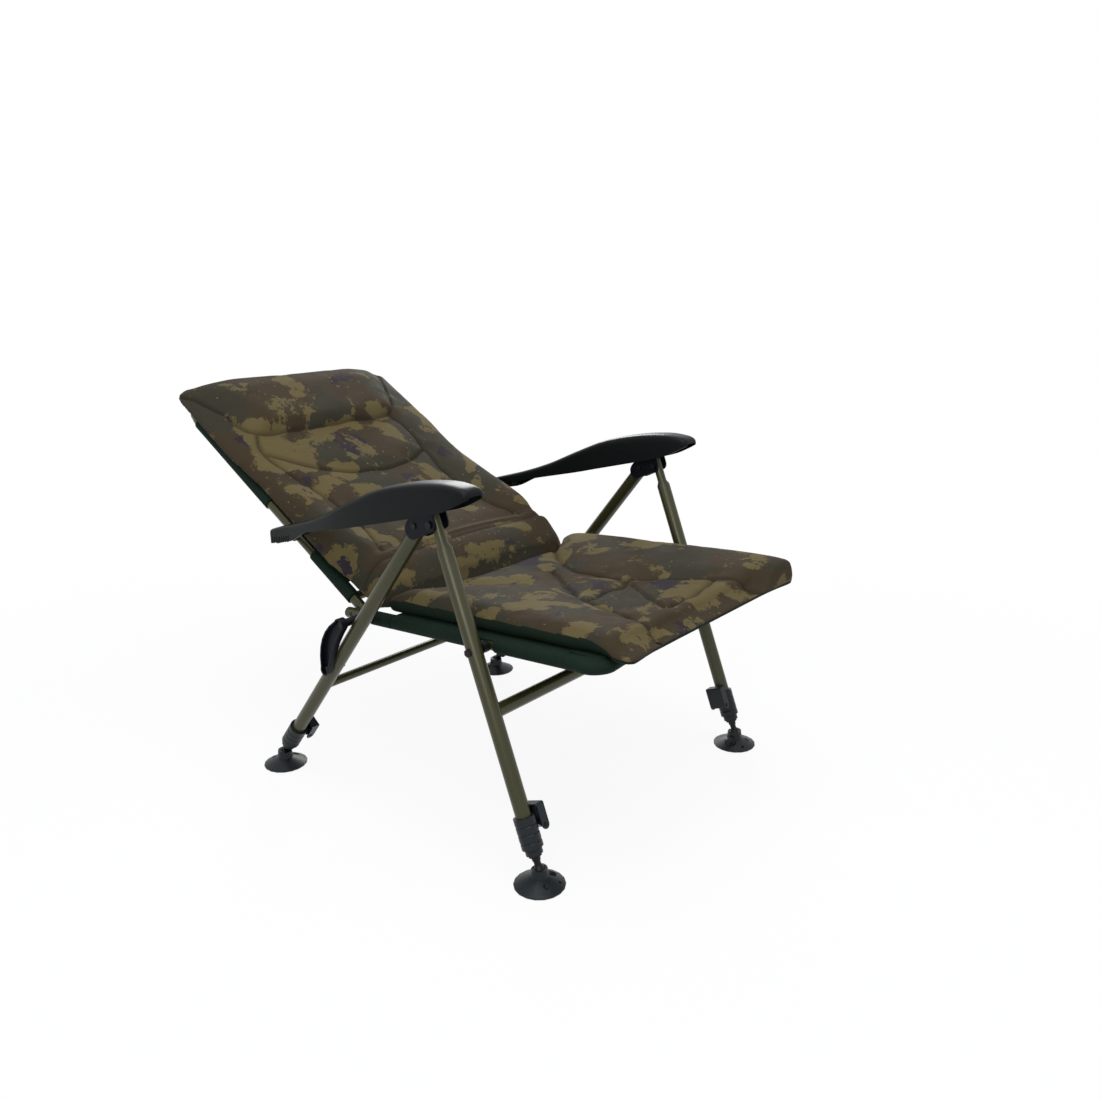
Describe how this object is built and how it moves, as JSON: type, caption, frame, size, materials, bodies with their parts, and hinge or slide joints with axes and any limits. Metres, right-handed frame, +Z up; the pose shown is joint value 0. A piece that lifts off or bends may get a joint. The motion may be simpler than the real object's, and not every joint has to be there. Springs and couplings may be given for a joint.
{
  "type": "reclining carp fishing chair",
  "caption": "Folding carp fishing chair with camouflage seat and back pads, notched recliner armrests, and telescopic legs with tilting mud feet",
  "frame": {"origin": "on the ground, under the middle of the chair's box", "axes": "+Z up, the sitter faces -Y, the sitter's left is +X"},
  "size_m": [0.6728, 1.1062, 0.698],
  "materials": {
    "olive_tube": "satin olive powder coat on steel tube",
    "black_plastic": "fine matt texture, moulded",
    "dark_steel": "blackened steel, semi-gloss",
    "green_cloth": "matt woven polyester",
    "camo_pad": "matt printed polyester, quilted, camouflage in tan, brown, grey-green and dark purple"
  },
  "bodies": {
    "root": {"front_crossbar": "olive_tube", "front_leg_left": "olive_tube", "front_leg_right": "olive_tube", "front_collar_left": "black_plastic", "front_collar_right": "black_plastic", "front_lever_pin_left": "dark_steel", "front_lever_pin_right": "dark_steel", "seat_pivot_bolt_left": "dark_steel", "seat_pivot_bolt_right": "dark_steel", "seat_pivot_spacer_left": "black_plastic", "seat_pivot_spacer_right": "black_plastic"},
    "rear_legs": {"rear_crossbar": "olive_tube", "rear_leg_left": "olive_tube", "rear_leg_right": "olive_tube", "rear_collar_left": "black_plastic", "rear_collar_right": "black_plastic", "rear_lever_pin_left": "dark_steel", "rear_lever_pin_right": "dark_steel", "arm_bracket_left": "black_plastic", "arm_bracket_right": "black_plastic", "bracket_rivet_left": "dark_steel", "bracket_rivet_right": "dark_steel", "leg_pivot_bolt_left": "dark_steel", "leg_pivot_bolt_right": "dark_steel", "armrest_pivot_bolt_left": "dark_steel", "armrest_pivot_bolt_right": "dark_steel", "link_foot_bolt_left": "dark_steel", "link_foot_bolt_right": "dark_steel"},
    "seat": {"seat_frame": "olive_tube", "seat_sling": "green_cloth", "seat_cushion": "camo_pad", "rail_cap_left": "black_plastic", "rail_cap_right": "black_plastic", "back_hinge_bolt_left": "dark_steel", "back_hinge_bolt_right": "dark_steel"},
    "back": {"back_frame": "olive_tube", "back_lower_bar": "olive_tube", "back_sling": "green_cloth", "back_cushion": "camo_pad", "back_pin_left": "dark_steel", "back_pin_right": "dark_steel"},
    "rear_links": {"rear_link_left": "black_plastic", "rear_link_right": "black_plastic", "link_top_bolt_left": "dark_steel", "link_top_bolt_right": "dark_steel"},
    "armrests": {"armrest_left": "black_plastic", "armrest_right": "black_plastic"},
    "front_inner_leg_left_body": {"front_inner_leg_left": "dark_steel"},
    "front_cam_lever_left_body": {"front_cam_lever_left": "black_plastic"},
    "front_mud_foot_left_body": {"front_mud_foot_left": "black_plastic"},
    "front_inner_leg_right_body": {"front_inner_leg_right": "dark_steel"},
    "front_cam_lever_right_body": {"front_cam_lever_right": "black_plastic"},
    "front_mud_foot_right_body": {"front_mud_foot_right": "black_plastic"},
    "rear_inner_leg_left_body": {"rear_inner_leg_left": "dark_steel"},
    "rear_cam_lever_left_body": {"rear_cam_lever_left": "black_plastic"},
    "rear_mud_foot_left_body": {"rear_mud_foot_left": "black_plastic"},
    "rear_inner_leg_right_body": {"rear_inner_leg_right": "dark_steel"},
    "rear_cam_lever_right_body": {"rear_cam_lever_right": "black_plastic"},
    "rear_mud_foot_right_body": {"rear_mud_foot_right": "black_plastic"}
  },
  "joints": [
    {"name": "fold", "type": "hinge", "parent": "root", "child": "rear_legs", "pos_m": [0, -0.23036, 0.535], "axis": [-1, 0, 0], "range_deg": [0, 43.66]},
    {"name": "seat_fold", "type": "hinge", "parent": "root", "child": "seat", "pos_m": [0, -0.29908, 0.34931], "axis": [-1, 0, 0], "range_deg": [0, 53.5]},
    {"name": "link_fold", "type": "hinge", "parent": "rear_legs", "child": "rear_links", "pos_m": [0, 0.03838, 0.24196], "axis": [-1, 0, 0], "range_deg": [0, 90.6]},
    {"name": "recline", "type": "hinge", "parent": "seat", "child": "back", "pos_m": [0, 0.02048, 0.33256], "axis": [1, 0, 0], "range_deg": [0, 64]},
    {"name": "arm_lift", "type": "hinge", "parent": "rear_legs", "child": "armrests", "pos_m": [0, -0.22036, 0.566], "axis": [1, 0, 0], "range_deg": [0, 19.9]},
    {"name": "front_leg_slide_left", "type": "slide", "parent": "root", "child": "front_inner_leg_left_body", "axis": [0, -0.3471, -0.9378], "range_m": [0, 0.12]},
    {"name": "front_lever_left", "type": "hinge", "parent": "root", "child": "front_cam_lever_left_body", "pos_m": [0.273, -0.39719, 0.08421], "axis": [0, -0.9378, 0.3471], "range_deg": [0, 90]},
    {"name": "front_foot_tilt_left", "type": "hinge", "parent": "front_inner_leg_left_body", "child": "front_mud_foot_left_body", "pos_m": [0.297, -0.41836, 0.027], "axis": [1, 0, 0], "range_deg": [-20, 25]},
    {"name": "front_leg_slide_right", "type": "slide", "parent": "root", "child": "front_inner_leg_right_body", "axis": [0, -0.3471, -0.9378], "range_m": [0, 0.12]},
    {"name": "front_lever_right", "type": "hinge", "parent": "root", "child": "front_cam_lever_right_body", "pos_m": [-0.273, -0.39719, 0.08421], "axis": [0, 0.9378, -0.3471], "range_deg": [0, 90]},
    {"name": "front_foot_tilt_right", "type": "hinge", "parent": "front_inner_leg_right_body", "child": "front_mud_foot_right_body", "pos_m": [-0.297, -0.41836, 0.027], "axis": [1, 0, 0], "range_deg": [-20, 25]},
    {"name": "rear_leg_slide_left", "type": "slide", "parent": "rear_legs", "child": "rear_inner_leg_left_body", "axis": [0, 0.6341, -0.7733], "range_m": [0, 0.12]},
    {"name": "rear_lever_left", "type": "hinge", "parent": "rear_legs", "child": "rear_cam_lever_left_body", "pos_m": [0.273, 0.17596, 0.07417], "axis": [0, -0.7733, -0.6341], "range_deg": [0, 90]},
    {"name": "rear_foot_tilt_left", "type": "hinge", "parent": "rear_inner_leg_left_body", "child": "rear_mud_foot_left_body", "pos_m": [0.297, 0.21464, 0.027], "axis": [1, 0, 0], "range_deg": [-20, 25]},
    {"name": "rear_leg_slide_right", "type": "slide", "parent": "rear_legs", "child": "rear_inner_leg_right_body", "axis": [0, 0.6341, -0.7733], "range_m": [0, 0.12]},
    {"name": "rear_lever_right", "type": "hinge", "parent": "rear_legs", "child": "rear_cam_lever_right_body", "pos_m": [-0.273, 0.17596, 0.07417], "axis": [0, 0.7733, 0.6341], "range_deg": [0, 90]},
    {"name": "rear_foot_tilt_right", "type": "hinge", "parent": "rear_inner_leg_right_body", "child": "rear_mud_foot_right_body", "pos_m": [-0.297, 0.21464, 0.027], "axis": [1, 0, 0], "range_deg": [-20, 25]}
  ],
  "couplings": [
    {"joint": "seat_fold", "follows": "fold", "ratio": 1.224},
    {"joint": "link_fold", "follows": "fold", "ratio": 2.0721},
    {"joint": "arm_lift", "follows": "recline", "ratio": 0.311}
  ]
}
